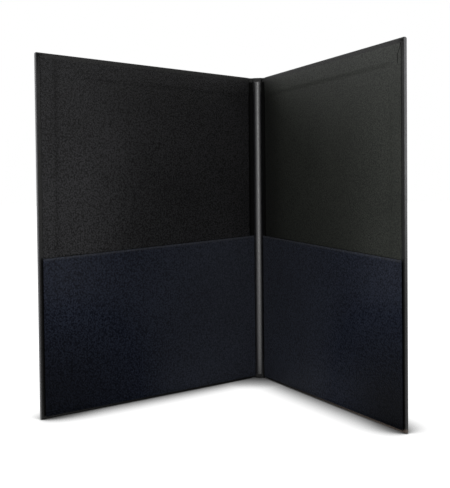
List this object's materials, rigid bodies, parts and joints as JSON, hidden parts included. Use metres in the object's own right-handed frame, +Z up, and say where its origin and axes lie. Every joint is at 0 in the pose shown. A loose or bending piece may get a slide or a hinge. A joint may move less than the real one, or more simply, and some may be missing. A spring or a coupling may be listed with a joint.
{
  "type": "two-pocket presentation folder",
  "caption": "Stiff black leatherette presentation folder with slant-topped inner pockets, standing half open on its edges.",
  "frame": {"origin": "on the surface that the folder stands on, under the middle of its box as it stands half open", "axes": "+Z up along the spine, +X to the right seen from the open side, +Y towards the back of the spine; the covers open towards -Y"},
  "size_m": [0.2958, 0.1946, 0.298],
  "materials": {
    "outer_leatherette": "black leatherette, fine pebble grain, low sheen",
    "greyboard": "bare greyboard, matte, hidden inside",
    "spine_strip": "black leatherette stretched over the rib, satin",
    "liner": "dark charcoal lining sheet, fine grain, satin",
    "pocket_leatherette": "navy-black leatherette, pebble grain, low sheen"
  },
  "bodies": {
    "spine": {"spine_skin": "outer_leatherette", "spine_board": "greyboard", "spine_liner": "spine_strip"},
    "left_cover": {"left_cover_skin": "outer_leatherette", "left_board": "greyboard", "left_liner": "liner", "left_pocket": "pocket_leatherette"},
    "right_cover": {"right_cover_skin": "outer_leatherette", "right_board": "greyboard", "right_liner": "liner", "right_pocket": "pocket_leatherette"}
  },
  "joints": [
    {"name": "left_hinge", "type": "hinge", "parent": "spine", "child": "left_cover", "pos_m": [-0.0076, 0.09713, 0.149], "axis": [0, 0, 1], "range_deg": [-54, 36]},
    {"name": "right_hinge", "type": "hinge", "parent": "spine", "child": "right_cover", "pos_m": [0.0076, 0.09713, 0.149], "axis": [0, 0, -1], "range_deg": [-54, 36]}
  ]
}
